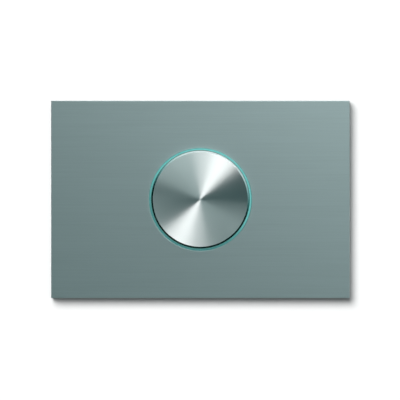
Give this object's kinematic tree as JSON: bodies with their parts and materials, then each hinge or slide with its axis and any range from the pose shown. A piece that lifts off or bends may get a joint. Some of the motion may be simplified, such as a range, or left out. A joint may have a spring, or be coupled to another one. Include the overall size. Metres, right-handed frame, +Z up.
{
  "type": "rotary light switch",
  "caption": "Flush wall switch: a flat rectangular satin metal plate with a turned metal knob that a thin lit ring surrounds, a steel support frame and a moulded housing with rear terminals.",
  "frame": {"origin": "on the knob's axis in the wall plane, midway between the two screw slots of the support frame", "axes": "+Y into the wall box, +Z up, +X to the right as seen from the front"},
  "size_m": [0.121, 0.042, 0.08],
  "materials": {
    "plate_metal": "satin",
    "knob_metal": "spun, with a polished bevel",
    "light_guide": "lit, clear to milky",
    "carrier_plastic": "moulded",
    "zinc_steel": "galvanised",
    "screw_steel": "zinc plated",
    "cover_plastic": "moulded",
    "base_plastic": "moulded",
    "brass": "machined",
    "shaft_steel": "ground",
    "spring_steel": "rolled",
    "slide_plastic": "moulded",
    "hub_plastic": "moulded",
    "copper": "pressed",
    "circuit_board": "laminate with solder mask",
    "capacitor_box": "moulded",
    "chip_black": "moulded",
    "resistor_body": "lacquered",
    "tinned_wire": "tinned",
    "reflector_white": "moulded",
    "led_lens": "clear lens"
  },
  "bodies": {
    "base": {"front_plate": "plate_metal", "light_ring": "light_guide", "plate_carrier": "carrier_plastic", "support_frame": "zinc_steel", "frame_screws": "screw_steel", "housing_screws": "screw_steel", "terminal_screws": "screw_steel", "housing_cover": "cover_plastic", "housing_base": "base_plastic", "bushing": "brass", "terminal_blocks": "brass", "detent_springs": "spring_steel", "line_contact": "copper", "load_contact": "copper", "neutral_contact": "copper", "driver_board": "circuit_board", "led_board": "circuit_board", "film_capacitor": "capacitor_box", "rectifier": "chip_black", "resistor": "resistor_body", "led_pins": "tinned_wire", "light_housing": "reflector_white", "leds": "led_lens"},
    "knob": {"knob_shell": "knob_metal", "knob_hub": "hub_plastic", "knob_spring": "spring_steel", "shaft": "shaft_steel", "circlip": "spring_steel", "detent_cam": "slide_plastic", "rotor": "slide_plastic", "contact_bridge": "copper"}
  },
  "joints": [
    {"name": "knob_turn", "type": "hinge", "parent": "base", "child": "knob", "pos_m": [0, 0, 0], "axis": [0, 1, 0], "continuous": true, "deforming": ["detent_springs"]}
  ]
}
